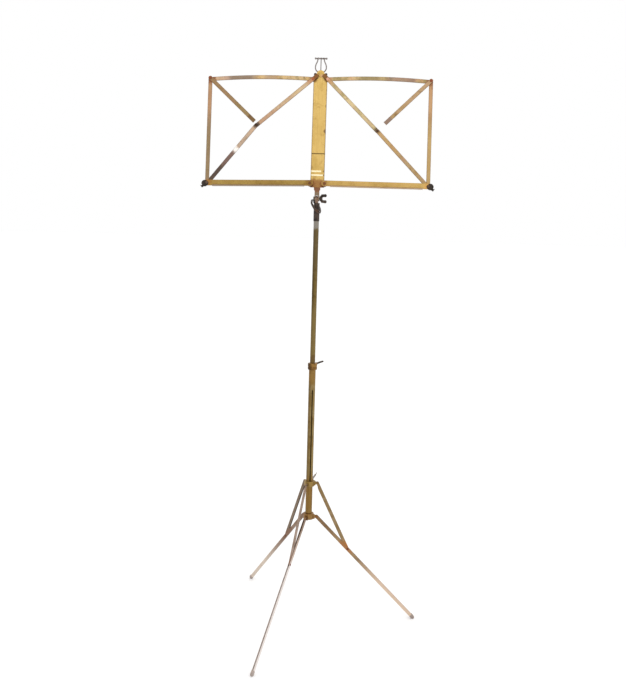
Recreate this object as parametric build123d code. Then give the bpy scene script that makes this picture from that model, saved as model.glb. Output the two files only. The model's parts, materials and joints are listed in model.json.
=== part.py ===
from build123d import *
from math import asin, atan2, cos, degrees, hypot, radians, sin
import os

# A folding music stand of brass tube, strip and channel, in millimetres and degrees.
# Origin: on the floor, on the pole's axis. +Z is up, and the desk faces -Y.

# ---- pole ----
TUBE_R = 7.1
TUBE_WALL = 0.6
TUBE_BOTTOM = 237.0
TUBE_TOP = 567.0
SLOT_WIDTH = 2.6
SLOT_BOTTOM = 308.0
SLOT_TOP = 519.0
SLOT_AZIMUTH = -78.0
MAST_R = 5.35
MAST_WALL = 0.7
MAST_BOTTOM = 530.0
MAST_TOP = 897.0
RUNNING_GAP = 0.06
BUSH_HEIGHT = 12.0

# ---- clamp collar on the outer tube ----
CLAMP_R = 9.7
CLAMP_BOTTOM = 561.0
CLAMP_TOP = 575.0
CLAMP_GROOVE = 6.4
CLAMP_SCREW_Z = 570.4
CLAMP_SCREW_AZIMUTH = 51.0
CLAMP_SCREW_RISE = 8.0
CLAMP_FLAT = 163

# ---- tripod ----
PIVOT_R = 17.5
HUB_Z = 240.0
HUB_RING_R = 11.0
HUB_BELOW = 4.2
HUB_ABOVE = 8.4
HUB_NOSE_R = 3.3
COLLAR_NOSE_R = 3.0
LUG_BLOCK_R = 13.0
LUG_BLOCK_WIDTH = 7.0
LUG_HEIGHT = 9.0
LEG_AZIMUTHS = {"right": 6.7, "front": -113.3, "back": 126.7}
LEG_SPREAD = 43.0
LEG_WIDTH = 3.8
LEG_BACK = 3.8
LEG_OPEN = 3.2
SHEET = 0.5
FOOT_R = 4.1
FOOT_WIDTH = 4.4
FOOT_LENGTH = 6.0
FOOT_COVER = 5.0
KNEE = 102.0
STRUT_LENGTH = 165.0
STRUT_WIDTH = 2.6
STRUT_HALF = 3.1
STRUT_FRONT = 4.4
HUB_TAB = 2.6
COLLAR_TAB = 1.4
COLLAR_BELOW = 6.0
COLLAR_ABOVE = 5.4
COLLAR_SCREW_AZIMUTH = 60.0
COLLAR_SCREW_RISE = 26.0
COLLAR_FLAT = 126
PIN_R = 1.5
COLLAR_PIN_R = 1.3

# ---- thumb screws ----
SCREW_R = 2.0
BOSS_R = 3.2

# ---- tilt joint ----
TILT_Z = 911.0
TONGUE = 6.0
TONGUE_R = 5.0
CHEEK_GAP = 6.2
CHEEK = 1.6
CHEEK_R = 5.5
STRAP_HALF = 6.4
BOLT_R = 2.0
EAR_SPREAD = 6.0
FERRULE_R = 6.0
FERRULE_BOTTOM = 866.0
FERRULE_TOP = 902.0
WIRE_R = 1.0
WIRE_TURNS = 3
WIRE_LOOP_R = 14.5
WIRE_FACING = (0.70, -0.40, 0.59)
WIRE_LOW = 891.6
WIRE_PITCH = 3.6

# ---- desk ----
DESK_TILT = 10.0
DESK_RISE = 26.0
DESK_FORWARD = 11.0
DESK_HEIGHT = 211.0
INNER_X = 14.5
BAR_REACH = 205.5
PLATE_HALF = 13.8
PLATE_SHEET = 0.8
PLATE_FLANGE = 5.0
PLATE_SHOULDER = 216.0
CREST_R = 8.2
CREST_V = 221.5
DOME_R = 6.0
LYRE_WIRE_R = 1.2
LYRE_BAR_V = 253.9
LYRE_KNOB = 5.45
LYRE_SWEEP_R = 19.9
LYRE_SWEEP = 28.0
SEAM_V = 62.4
BEADS = ((18.6, 11.0), (26.4, 6.5))
LAP = 9.0
LAP_RIVET_X = 7.0
FORK_RIVETS = (12.0, 40.0)
EAR_R = 4.8
BAR_WIDTH = 7.8
LEDGE_UP = 6.2
LEDGE_DOWN = 6.4
LEDGE_DEPTH = 12.0
LEDGE_MARGIN = 11.0
STRIP = 1.2
LAYER = 1.8
FIRST_LAYER = 0.6
RIVET_R = 1.6
HEAD_R = 2.9
HEAD = 0.45
WASHER_R = 3.4
TOP_BAR_ARCH = 4.0
ARM_LENGTH = 125.0
BRACE_TAIL = 9.0
# Each wing's droop below level, its brace's elbow off the straight line, and its arm's angle.
WINGS = {"right": (0.3, 1.8, 44.6), "left": (1.2, 13.8, 43.2)}

CENTRE = (Align.CENTER, Align.CENTER, Align.CENTER)
UPRIGHT = (Align.CENTER, Align.CENTER, Align.MIN)

LEG_ANGLE = radians(LEG_SPREAD)
STRUT_OUT = asin(KNEE * sin(LEG_ANGLE) / STRUT_LENGTH)
COLLAR_Z = HUB_Z - KNEE * cos(LEG_ANGLE) + STRUT_LENGTH * cos(STRUT_OUT)
FOOT_S = (HUB_Z - FOOT_R) / cos(LEG_ANGLE)
DESK = Location((0, 0, TILT_Z), (90 - DESK_TILT, 0, 0)) * Pos(0, DESK_RISE, DESK_FORWARD)


def rod(radius, low, high, x=0, y=0):
    """Cylinder along Z between two heights."""
    return Pos(x, y, low) * Cylinder(radius, high - low, align=UPRIGHT)


def tube(outer, inner, low, high, x=0, y=0):
    """Hollow cylinder along Z between two heights."""
    return rod(outer, low, high, x, y) - rod(inner, low - 1, high + 1, x, y)


def cross_pin(radius, half_length, x=0, y=0):
    """Cylinder across a flat piece, centred on its mid-plane."""
    return Pos(x, y, 0) * Cylinder(radius, 2 * half_length, align=CENTRE)


def plate_of(sketch, low, high):
    """Flat sheet of an outline between two heights."""
    return Pos(0, 0, low) * extrude(sketch, high - low)


def radial(azimuth):
    """Local X points outwards and local Y up, in the upright plane at an azimuth."""
    return Rot(0, 0, azimuth) * Rot(90, 0, 0)


def outward(azimuth, z, rise=0.0):
    """Local Z points outwards from the pole at an azimuth, and may rise."""
    return Pos(0, 0, z) * Rot(0, 0, azimuth) * Rot(0, 90 - rise, 0)


def layer(number):
    """Back and front face of one layer of desk strips, counted forwards from the plate."""
    back = FIRST_LAYER + LAYER * (number - 1)
    return back, back + STRIP


# ---- pole ----

def outer_tube():
    slot = SlotOverall(SLOT_TOP - SLOT_BOTTOM, SLOT_WIDTH)
    middle = (SLOT_TOP + SLOT_BOTTOM) / 2
    cutter = outward(SLOT_AZIMUTH, middle) * extrude(slot, 2 * TUBE_R)
    return tube(TUBE_R, TUBE_R - TUBE_WALL, TUBE_BOTTOM, TUBE_TOP) - cutter


def clamp_collar():
    """Barrel-shaped collar with a groove, pressed on the outer tube's top."""
    collar = rod(CLAMP_R, CLAMP_BOTTOM, CLAMP_TOP)
    collar = fillet(collar.edges().filter_by(GeomType.CIRCLE), 1.8)
    groove_z = CLAMP_BOTTOM + CLAMP_GROOVE
    collar -= tube(CLAMP_R + 2, CLAMP_R - 1.1, groove_z - 0.8, groove_z + 0.8)
    place = outward(CLAMP_SCREW_AZIMUTH, CLAMP_SCREW_Z, CLAMP_SCREW_RISE)
    collar += place * rod(BOSS_R, 8.2, 12.2)
    collar -= rod(TUBE_R, CLAMP_BOTTOM - 1, TUBE_TOP)
    collar -= rod(MAST_R + RUNNING_GAP, TUBE_TOP - 1, CLAMP_TOP + 1)
    return collar - place * rod(SCREW_R + RUNNING_GAP, 0, 20)


def thumb_screw(tip, neck, end, flat, radius, thickness):
    """Screw along Z with a flat rounded thumb piece; flat turns the piece about the screw."""
    shank = rod(SCREW_R, tip, neck)
    paddle = Pos(0, 0, end - radius) * Rot(0, 90, 0) * cross_pin(radius, thickness / 2)
    paddle = chamfer(paddle.edges().filter_by(GeomType.CIRCLE), thickness / 4)
    stem = rod(SCREW_R, neck - 1, end - 2 * radius + 2)
    return shank + Rot(0, 0, flat) * (paddle + stem)


def clamp_screw():
    place = outward(CLAMP_SCREW_AZIMUTH, CLAMP_SCREW_Z, CLAMP_SCREW_RISE)
    return place * thumb_screw(MAST_R + 0.7, 15.0, 33.0, CLAMP_FLAT, 6.0, 3.2)


def collar_screw():
    place = outward(COLLAR_SCREW_AZIMUTH, COLLAR_Z, COLLAR_SCREW_RISE)
    return place * thumb_screw(TUBE_R + 2.6, 16.0, 33.0, COLLAR_FLAT, 4.2, 1.6)


def mast_tube():
    return tube(MAST_R, MAST_R - MAST_WALL, MAST_BOTTOM, MAST_TOP)


def mast_bush():
    """Guide bush round the mast's foot; it also stops the mast being drawn right out."""
    outer = TUBE_R - TUBE_WALL - RUNNING_GAP
    return tube(outer, MAST_R, MAST_BOTTOM, MAST_BOTTOM + BUSH_HEIGHT)


def mast_ferrule():
    ferrule = tube(FERRULE_R, MAST_R, FERRULE_BOTTOM, MAST_TOP)
    ferrule += rod(FERRULE_R, MAST_TOP, FERRULE_TOP)
    return ferrule - Pos(0, 0, MAST_TOP) * Box(TONGUE, 2 * TONGUE_R, 30)


def mast_head():
    """Flat tongue that the desk's fork straddles, with a round plug below in the mast."""
    tongue = Pos(0, 0, MAST_TOP) * Box(TONGUE, 2 * TONGUE_R, TILT_Z - MAST_TOP, align=UPRIGHT)
    nose = Pos(0, 0, TILT_Z) * Rot(0, 90, 0) * cross_pin(TONGUE_R, TONGUE / 2)
    plug = rod(MAST_R - MAST_WALL, MAST_TOP - 18, MAST_TOP)
    hole = Pos(0, 0, TILT_Z) * Rot(0, 90, 0) * cross_pin(BOLT_R, 20)
    return tongue + nose + plug - hole


def tilt_bolt():
    """Bolt along X with a round head on the left and its thread end on the right."""
    along = Pos(0, 0, TILT_Z) * Rot(0, 90, 0)
    cheek_face = CHEEK_GAP / 2 + CHEEK
    head = Cylinder(4.0, 2.4, align=(Align.CENTER, Align.CENTER, Align.MAX))
    head = fillet(head.edges().sort_by(Axis.Z)[0], 1.2)
    shank = rod(BOLT_R, -cheek_face - 0.5, cheek_face + 6.5)
    return along * (Pos(0, 0, -cheek_face - 0.1) * head + shank)


def wing_nut():
    """Hub round the bolt with two ears that reach outwards, one up and one down."""
    start = CHEEK_GAP / 2 + CHEEK + 0.5
    hub = rod(4.6, start, start + 6.0)
    tip = (EAR_SPREAD, start + 11.5)
    ear_face = trace(Polyline((2.6, start + 3.4), (EAR_SPREAD - 0.4, start + 5.4), tip), 5.6)
    ear_face += Pos(*tip) * Circle(3.1)
    ear = Rot(90, 0, 0) * extrude(ear_face, 1.5, both=True)
    nut = hub + ear + Rot(0, 0, 180) * ear
    nut -= rod(BOLT_R + RUNNING_GAP, start - 5, start + 20)
    return Pos(0, 0, TILT_Z) * Rot(0, 90, 0) * nut


def wire_tie():
    """Slack slanting turns of dark wire round the mast's head."""
    turns = []
    for number in range(WIRE_TURNS):
        centre = (-1.5, 0, WIRE_LOW + WIRE_PITCH * number)
        turns.append(Plane(centre, z_dir=WIRE_FACING) * Torus(WIRE_LOOP_R, WIRE_R))
    return Compound(children=turns)


# ---- tripod ----

def lugs(tab, nose_r, centre_z):
    """Three radial blocks with a rounded tab on each, for the pins at PIVOT_R."""
    group = None
    for azimuth in LEG_AZIMUTHS.values():
        block = Pos(LUG_BLOCK_R / 2 + 3, 0, 0) * Box(LUG_BLOCK_R - 6, LUG_HEIGHT, LUG_BLOCK_WIDTH)
        blade = Pos((PIVOT_R + LUG_BLOCK_R) / 2 - 1, 0, 0) * Box(PIVOT_R - LUG_BLOCK_R + 2, 2 * nose_r, tab)
        nose = cross_pin(nose_r, tab / 2, PIVOT_R)
        lug = Pos(0, 0, centre_z) * radial(azimuth) * (block + blade + nose)
        group = lug if group is None else group + lug
    return group


def pins(centre_z, radius, half_length, head_radius, head):
    """Three pins, one through each lug, with a head at both ends when head is over 0."""
    group = []
    for azimuth in LEG_AZIMUTHS.values():
        pin = cross_pin(radius, half_length)
        if head:
            pin += Pos(0, 0, half_length) * Cylinder(head_radius, head, align=CENTRE)
            pin += Pos(0, 0, -half_length) * Cylinder(head_radius, head, align=CENTRE)
        group.append(Pos(0, 0, centre_z) * radial(azimuth) * Pos(PIVOT_R, 0, 0) * pin)
    return Compound(children=group)


def pin_holes(centre_z, radius):
    group = None
    for azimuth in LEG_AZIMUTHS.values():
        hole = Pos(0, 0, centre_z) * radial(azimuth) * cross_pin(radius, 10, PIVOT_R)
        group = hole if group is None else group + hole
    return group


def lower_hub():
    """Cup pressed on the outer tube's foot, with a lug for each leg."""
    body = rod(HUB_RING_R, HUB_Z - HUB_BELOW, HUB_Z + HUB_ABOVE)
    body = fillet(body.edges().filter_by(GeomType.CIRCLE), 1.0)
    body += lugs(HUB_TAB, HUB_NOSE_R, HUB_Z)
    body -= rod(TUBE_R, TUBE_BOTTOM, HUB_Z + 20)
    return body - pin_holes(HUB_Z, PIN_R)


def hub_pins():
    return pins(HUB_Z, PIN_R, LEG_WIDTH / 2 + 0.35, 2.5, SHEET)


def upper_collar():
    """Sliding collar with a lug for each strut and a slanting threaded boss."""
    low = COLLAR_Z - COLLAR_BELOW
    body = rod(HUB_RING_R, low, COLLAR_Z + COLLAR_ABOVE)
    body = fillet(body.edges().filter_by(GeomType.CIRCLE), 1.0)
    body += lugs(COLLAR_TAB, COLLAR_NOSE_R, COLLAR_Z)
    place = outward(COLLAR_SCREW_AZIMUTH, COLLAR_Z, COLLAR_SCREW_RISE)
    body += place * rod(BOSS_R, 6, 12.5)
    body -= rod(TUBE_R + RUNNING_GAP, low - 1, COLLAR_Z + 30)
    body -= place * rod(SCREW_R + RUNNING_GAP, 0, 20)
    return body - pin_holes(COLLAR_Z, COLLAR_PIN_R)


def collar_key():
    """Small key that runs in the outer tube's slot and keeps the collar from turning."""
    inner = TUBE_R - TUBE_WALL + 0.1
    block = Box(5.0, SLOT_WIDTH - 0.2, 4.0, align=UPRIGHT)
    key = outward(SLOT_AZIMUTH, SLOT_BOTTOM + 5.0) * Pos(0, 0, inner) * block
    return key & rod(TUBE_R + RUNNING_GAP, SLOT_BOTTOM, SLOT_BOTTOM + 12)


def collar_pins():
    return pins(COLLAR_Z, COLLAR_PIN_R, COLLAR_TAB / 2, 0, 0)


def channel(start, end, back, front, width, open_end):
    """Channel along X whose web is at -Y and whose round start is centred on the origin."""
    reach = min(-back, front)
    side = Pos((start + end) / 2, (back + front) / 2) * Rectangle(end - start, front - back)
    side += Circle(reach)
    body = extrude(side, width / 2, both=True)
    inner = Pos((start + end) / 2, 0, 0) * Box(end - start + 60, 60, width - 2 * SHEET)
    web = Pos((open_end + end) / 2, back + SHEET / 2, 0) * Box(end - open_end, SHEET, width)
    return body - inner + web


def leg_place(side):
    """A leg's own frame: X down the leg, Y to its open upper side, Z across."""
    return Pos(0, 0, HUB_Z) * radial(LEG_AZIMUTHS[side]) * Pos(PIVOT_R, 0, 0) * Rot(0, 0, LEG_SPREAD - 90)


def leg(side):
    body = channel(0, FOOT_S - FOOT_LENGTH + FOOT_COVER, -LEG_BACK, LEG_OPEN, LEG_WIDTH, 1.6)
    body -= cross_pin(PIN_R + RUNNING_GAP, 10)
    body -= cross_pin(PIN_R - 0.1, 10, KNEE)
    return leg_place(side) * body


def foot_tip(side):
    """Dark shoe over the leg's end; its end is round, so it stands on the floor at any spread."""
    outline = Pos(-FOOT_LENGTH / 2, 0) * Rectangle(FOOT_LENGTH, 2 * FOOT_R) + Circle(FOOT_R)
    shoe = extrude(outline, FOOT_WIDTH / 2, both=True)
    leg_end = Box(FOOT_COVER + 5, LEG_BACK + LEG_OPEN, LEG_WIDTH)
    middle = FOOT_COVER - FOOT_LENGTH - (FOOT_COVER + 5) / 2
    shoe -= Pos(middle, (LEG_OPEN - LEG_BACK) / 2, 0) * leg_end
    return leg_place(side) * Pos(FOOT_S, 0, 0) * shoe


def knee_pin(side):
    pin = cross_pin(PIN_R - 0.1, LEG_WIDTH / 2 + 0.3, KNEE)
    for end in (-1, 1):
        pin += Pos(KNEE, 0, end * (LEG_WIDTH / 2 + 0.3)) * Cylinder(2.4, 0.6, align=CENTRE)
    return leg_place(side) * pin


def strut(side):
    """Channel from the knee up to the collar, open towards the pole, with lips that clear both ends."""
    inside = STRUT_WIDTH - 2 * SHEET
    end = STRUT_LENGTH
    lips = make_face(Polyline(
        (5, 0), (5, STRUT_HALF), (9, STRUT_FRONT), (end - 12, STRUT_FRONT),
        (end - 8, STRUT_HALF), (end - 8, 0), close=True))
    top = Pos(end, 0, 0) * cross_pin(STRUT_HALF, STRUT_WIDTH / 2)
    body = channel(0, end, -STRUT_HALF, STRUT_HALF, STRUT_WIDTH, 0)
    body += extrude(lips, STRUT_WIDTH / 2, both=True) - Box(2 * end, 20, inside)
    body += top - Pos(end, 0, 0) * Box(20, 20, inside)
    body -= Pos(end, 0, 0) * Box(12, 20, inside)
    body -= cross_pin(PIN_R - 0.1 + RUNNING_GAP, 10)
    body -= cross_pin(COLLAR_PIN_R, 10, STRUT_LENGTH)
    place = Pos(KNEE, 0, 0) * Rot(0, 0, 180 + degrees(STRUT_OUT) - LEG_SPREAD)
    return leg_place(side) * place * body


# ---- desk, drawn flat: X across, Y up the desk, Z towards the reader ----

def strip(start, end, width, low, high):
    """Flat strip with round ends centred on two points."""
    dx = end[0] - start[0]
    dy = end[1] - start[1]
    middle = Pos((start[0] + end[0]) / 2, (start[1] + end[1]) / 2)
    outline = middle * Rot(0, 0, degrees(atan2(dy, dx))) * SlotCenterToCenter(hypot(dx, dy), width)
    body = plate_of(outline, low, high)
    return chamfer(body.faces().sort_by(Axis.Z)[-1].edges(), 0.3)


def rivet(x, y, low, high, back_head, front_head):
    """Rivet along Z with a thin domed head at either end, where its thickness is over 0."""
    body = rod(RIVET_R, low, high, x, y)
    if back_head:
        body += rod(HEAD_R, low - back_head, low, x, y)
    if front_head:
        head = rod(HEAD_R, high, high + front_head, x, y)
        body += chamfer(head.edges().sort_by(Axis.Z)[-1], 0.6 * front_head)
    return body


def washer(x, y, low, high):
    return tube(WASHER_R, RIVET_R + 0.1, low + 0.05, high - 0.05, x, y)


def ears(v, low, high):
    group = plate_of(Pos(-INNER_X, v) * Circle(EAR_R), low, high)
    return group + plate_of(Pos(INNER_X, v) * Circle(EAR_R), low, high)


def inner_holes(v, radius):
    return rod(radius, -20, 20, -INNER_X, v) + rod(radius, -20, 20, INNER_X, v)


def plate_flanges(low_v, high_v, front):
    """Two flanges turned back along the plate's long edges."""
    group = None
    for end in (-1, 1):
        place = Pos(end * (PLATE_HALF - PLATE_SHEET / 2), (low_v + high_v) / 2, front - PLATE_FLANGE / 2)
        flange = place * Box(PLATE_SHEET, high_v - low_v, PLATE_FLANGE)
        group = flange if group is None else group + flange
    return group


def centre_plate():
    """Upper plate: channel with shoulders, a round crest and an ear at each top pivot."""
    low = SEAM_V
    outline = Pos(0, (low + PLATE_SHOULDER) / 2) * Rectangle(2 * PLATE_HALF, PLATE_SHOULDER - low)
    outline += Pos(0, (CREST_V + PLATE_SHOULDER) / 2) * Rectangle(2 * CREST_R, CREST_V - PLATE_SHOULDER)
    outline += Pos(0, CREST_V) * Circle(CREST_R)
    body = plate_of(outline, -PLATE_SHEET, 0)
    body += ears(DESK_HEIGHT, -PLATE_SHEET, 0)
    body += plate_flanges(low + LAP + 1, DESK_HEIGHT - 12, -PLATE_SHEET)
    body -= rod(RIVET_R, -5, 5, 0, CREST_V - 1)
    body -= plate_rivet_holes()
    return DESK * (body - inner_holes(DESK_HEIGHT, RIVET_R))


def plate_foot():
    """Lower plate, lapped behind the upper one, with two pressed beads and the lower ears."""
    back = -2 * PLATE_SHEET
    front = -PLATE_SHEET
    high = SEAM_V + LAP
    outline = Pos(0, (high - 6) / 2) * Rectangle(2 * PLATE_HALF, high + 6)
    body = plate_of(outline, back, front)
    body += ears(0, back, front)
    body += plate_flanges(8, SEAM_V + LAP, back)
    for bead_v, bead_end in BEADS:
        length = bead_end + PLATE_HALF - 1
        bead = plate_of(Pos(bead_end - length / 2, bead_v) * SlotOverall(length, 3.2), front, front + 0.9)
        body += chamfer(bead.faces().sort_by(Axis.Z)[-1].edges(), 0.5)
    body -= plate_rivet_holes()
    return DESK * (body - inner_holes(0, RIVET_R))


def plate_rivets():
    """Two rivets through the lap and two that hold the fork, flush in front."""
    back = -2 * PLATE_SHEET
    group = []
    for x in (-LAP_RIVET_X, LAP_RIVET_X):
        group.append(rivet(x, SEAM_V + LAP / 2, back, 0, 0.6, 0))
    for v in FORK_RIVETS:
        group.append(rivet(0, v, back - CHEEK, -PLATE_SHEET, 0.6, 0))
    return DESK * Compound(children=group)


def plate_rivet_holes():
    places = [(-LAP_RIVET_X, SEAM_V + LAP / 2), (LAP_RIVET_X, SEAM_V + LAP / 2)]
    places += [(0, v) for v in FORK_RIVETS]
    group = None
    for x, v in places:
        hole = rod(RIVET_R, -10, 10, x, v)
        group = hole if group is None else group + hole
    return group


def lyre_arm():
    """Right arm: a round belly that sweeps up and in to the bar."""
    belly = JernArc((3.0, CREST_V + 4.4), (1, 0.18), 9.7, 80)
    rise = JernArc(belly @ 1, belly % 1, LYRE_SWEEP_R, LYRE_SWEEP)
    neck = JernArc(rise @ 1, rise % 1, LYRE_SWEEP_R, -LYRE_SWEEP)
    path = belly + rise + neck
    return sweep(Plane(path @ 0, z_dir=path % 0) * Circle(LYRE_WIRE_R), path)


def lyre():
    """Steel lyre behind the crest: two swept arms, a middle string, a knobbed bar and a foot."""
    across = Pos(0, LYRE_BAR_V, 0) * Rot(0, 90, 0)
    body = across * cross_pin(1.4, 2 * LYRE_KNOB)
    for knob in range(5):
        body += across * Pos(0, 0, LYRE_KNOB * (knob - 2)) * Sphere(2.0)
    body += Rot(-90, 0, 0) * rod(LYRE_WIRE_R - 0.2, CREST_V + 2, LYRE_BAR_V)
    body += lyre_arm()
    body += mirror(lyre_arm(), about=Plane.YZ)
    foot = Pos(0, CREST_V - 0.5) * Rectangle(9, 14) - Pos(0, CREST_V - 1) * Circle(RIVET_R)
    body += plate_of(foot, -LYRE_WIRE_R, LYRE_WIRE_R)
    return DESK * Pos(0, 0, -PLATE_SHEET - LYRE_WIRE_R - 0.05) * body


def lyre_saddle():
    """Dark strip behind the lyre's foot, with a rounded prong at each end."""
    front = -PLATE_SHEET - 2 * LYRE_WIRE_R - 0.1
    middle = CREST_V - 6
    outline = Pos(0, middle) * Rectangle(24, 7) + Pos(0, middle + 3) * Rectangle(8, 12)
    for end in (-1, 1):
        prong_x = end * 10.7
        outline += Pos(prong_x, middle + 3.5) * Rectangle(4.8, 7) + Pos(prong_x, middle + 7) * Circle(2.8)
    body = plate_of(outline, front - 1.3, front)
    return DESK * (body - rod(RIVET_R, -20, 5, 0, CREST_V - 1))


def crest_boss():
    """Low dome on the crest whose shank rivets the plate, the lyre and its saddle together."""
    rise = 1.5
    radius = (DOME_R ** 2 + rise ** 2) / (2 * rise)
    ball = Pos(0, CREST_V - 1, rise - radius) * Sphere(radius)
    dome = ball & rod(DOME_R + 0.1, 0, 5, 0, CREST_V - 1)
    back = -PLATE_SHEET - 2 * LYRE_WIRE_R - 1.4
    return DESK * (dome + rivet(0, CREST_V - 1, back, 0.1, 0.6, 0))


def desk_fork():
    """Fork of bent strip: a strap behind the lower plate and two cheeks over the tongue."""
    front = -2 * PLATE_SHEET
    back = front - CHEEK
    half = CHEEK_GAP / 2 + CHEEK
    axis = (-DESK_FORWARD, -DESK_RISE)
    strap = make_face(Polyline(
        (-STRAP_HALF, 50), (STRAP_HALF, 50), (STRAP_HALF, -10), (half, -13),
        (half, -22), (-half, -22), (-half, -13), (-STRAP_HALF, -10), close=True))
    body = plate_of(strap, back, front)
    side = make_face(Polyline(
        (back + 0.5, -22), (back + 0.5, 6), (back - 2.5, 6),
        (axis[0] - CHEEK_R, axis[1]), (axis[0] + CHEEK_R, axis[1]), close=True))
    side += Pos(*axis) * Circle(CHEEK_R)
    side -= Pos(*axis) * Circle(BOLT_R + RUNNING_GAP)
    for x in (-CHEEK_GAP / 2, half):
        body += Pos(x, 0, 0) * Rot(0, -90, 0) * extrude(side, CHEEK)
    return DESK * (body - plate_rivet_holes())


def top_pivots():
    """Rivets and washers that hang the top bars and upper braces on the plate."""
    group = []
    for x in (-INNER_X, INNER_X):
        group.append(rivet(x, DESK_HEIGHT, -PLATE_SHEET, layer(2)[1] + 0.05, 0.6, HEAD))
        group.append(washer(x, DESK_HEIGHT, 0, layer(1)[0]))
        group.append(washer(x, DESK_HEIGHT, layer(1)[1], layer(2)[0]))
    return DESK * Compound(children=group)


def ledge_pivots():
    """Rivets and spacers that carry the two ledge bars in front of the lower plate."""
    group = []
    for x in (-INNER_X, INNER_X):
        group.append(rivet(x, 0, -2 * PLATE_SHEET, layer(5)[1] + 0.05, 0.6, 0.9))
        group.append(tube(4.4, RIVET_R + 0.1, -PLATE_SHEET, layer(5)[0] - 0.05, x, 0))
    return DESK * Compound(children=group)


# ---- wings, drawn as the right one; the left one is its mirror image ----

def bar_point(side, height, reach):
    """Point on a wing's bar that starts at a height on the plate."""
    droop = radians(WINGS[side][0])
    return (INNER_X + reach * cos(droop), height - reach * sin(droop))


def brace_points(side):
    """Upper pivot, elbow and lower pivot of a wing's folding brace.

    The lower link is longer than the upper by DESK_HEIGHT - BAR_REACH, so the pair closes flat.
    """
    top = (INNER_X, DESK_HEIGHT)
    corner = bar_point(side, 0, BAR_REACH)
    kink = WINGS[side][1]
    span = hypot(corner[0] - top[0], corner[1] - top[1])
    along = span / 2
    for _ in range(6):
        upper = hypot(along, kink)
        excess = DESK_HEIGHT - BAR_REACH
        along = (span ** 2 - excess * (2 * upper + excess)) / (2 * span)
    ex = (corner[0] - top[0]) / span
    ey = (corner[1] - top[1]) / span
    elbow = (top[0] + along * ex - kink * ey, top[1] + along * ey + kink * ex)
    return top, elbow, corner


def placed(side, body):
    if side == "left":
        body = mirror(body, about=Plane.YZ)
    return DESK * body


def on_bar(side, height):
    """A bar's own frame: X along the bar from its inner pivot."""
    return Pos(INNER_X, height, 0) * Rot(0, 0, -WINGS[side][0])


def ledge_bar(side):
    """Angle strip: a tall web, and a ledge along its foot for the book."""
    low, high = layer(5)
    web_low = STRIP - LEDGE_DOWN
    end = 6.3
    web = RectangleRounded(BAR_REACH + 2 * end, LEDGE_UP - web_low, 5.2)
    body = plate_of(Pos(BAR_REACH / 2, (LEDGE_UP + web_low) / 2) * web, low, high)
    shelf = Box(BAR_REACH - 2 * LEDGE_MARGIN, STRIP, LEDGE_DEPTH, align=(Align.CENTER, Align.MAX, Align.MIN))
    body += Pos(BAR_REACH / 2, web_low, low) * shelf
    body -= rod(RIVET_R + RUNNING_GAP, 0, 20)
    body -= rod(RIVET_R, 0, 20, BAR_REACH, 0)
    return placed(side, on_bar(side, 0) * body)


def top_bar(side):
    """Thin strip that arches a little upwards between its pivots."""
    low, high = layer(1)
    arch = ThreePointArc((0, 0), (BAR_REACH / 2, TOP_BAR_ARCH), (BAR_REACH, 0))
    body = plate_of(SlotArc(arch, BAR_WIDTH), low, high)
    body = chamfer(body.faces().sort_by(Axis.Z)[-1].edges(), 0.3)
    for x in (0, BAR_REACH):
        body -= rod(RIVET_R + RUNNING_GAP, -5, 20, x, 0)
    return placed(side, on_bar(side, DESK_HEIGHT) * body)


def side_bar(side):
    low, high = layer(4)
    foot = bar_point(side, 0, BAR_REACH)
    head = bar_point(side, DESK_HEIGHT, BAR_REACH)
    body = strip(foot, head, BAR_WIDTH, low, high)
    body -= rod(RIVET_R + RUNNING_GAP, 0, 20, *foot)
    return placed(side, body - rod(RIVET_R, 0, 20, *head))


def upper_brace(side):
    """Upper link; its tail runs on past the pivot over the plate."""
    low, high = layer(2)
    top, elbow, _ = brace_points(side)
    length = hypot(elbow[0] - top[0], elbow[1] - top[1])
    tail_x = top[0] - BRACE_TAIL * (elbow[0] - top[0]) / length
    tail_y = top[1] - BRACE_TAIL * (elbow[1] - top[1]) / length
    body = strip((tail_x, tail_y), elbow, BAR_WIDTH, low, high)
    body -= rod(RIVET_R + RUNNING_GAP, 0, 20, *top)
    return placed(side, body - rod(RIVET_R, 0, 20, *elbow))


def lower_brace(side):
    low, high = layer(3)
    _, elbow, corner = brace_points(side)
    body = strip(elbow, corner, BAR_WIDTH, low, high)
    body -= rod(RIVET_R + RUNNING_GAP, 0, 20, *corner)
    return placed(side, body - rod(RIVET_R, 0, 20, *elbow))


def elbow_rivet_back(side):
    """Half of the elbow's rivet, fast in the upper link."""
    low, high = layer(2)
    elbow = brace_points(side)[1]
    return placed(side, rivet(*elbow, low, high + 0.25, HEAD, 0))


def elbow_rivet_front(side):
    """Other half of the elbow's rivet, fast in the lower link."""
    low, high = layer(3)
    elbow = brace_points(side)[1]
    return placed(side, rivet(*elbow, low - 0.25, high, 0, HEAD))


def top_corner_rivet(side):
    """Rivet, spacer and washer at the outer top corner."""
    x, v = bar_point(side, DESK_HEIGHT, BAR_REACH)
    group = [rivet(x, v, layer(1)[0] - 0.05, layer(5)[1] + 0.05, 0.45, 0.9)]
    group.append(washer(x, v, layer(1)[1], layer(4)[0]))
    group.append(washer(x, v, layer(4)[1], layer(5)[0]))
    return placed(side, Compound(children=group))


def low_corner_rivet(side):
    """Rivet and washers at the outer bottom corner; the rivet is flush behind."""
    x, v = bar_point(side, 0, BAR_REACH)
    group = [rivet(x, v, layer(3)[0], layer(6)[1] + 0.05, 0, 0.9)]
    for number in (3, 4, 5):
        group.append(washer(x, v, layer(number)[1], layer(number + 1)[0]))
    return placed(side, Compound(children=group))


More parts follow.
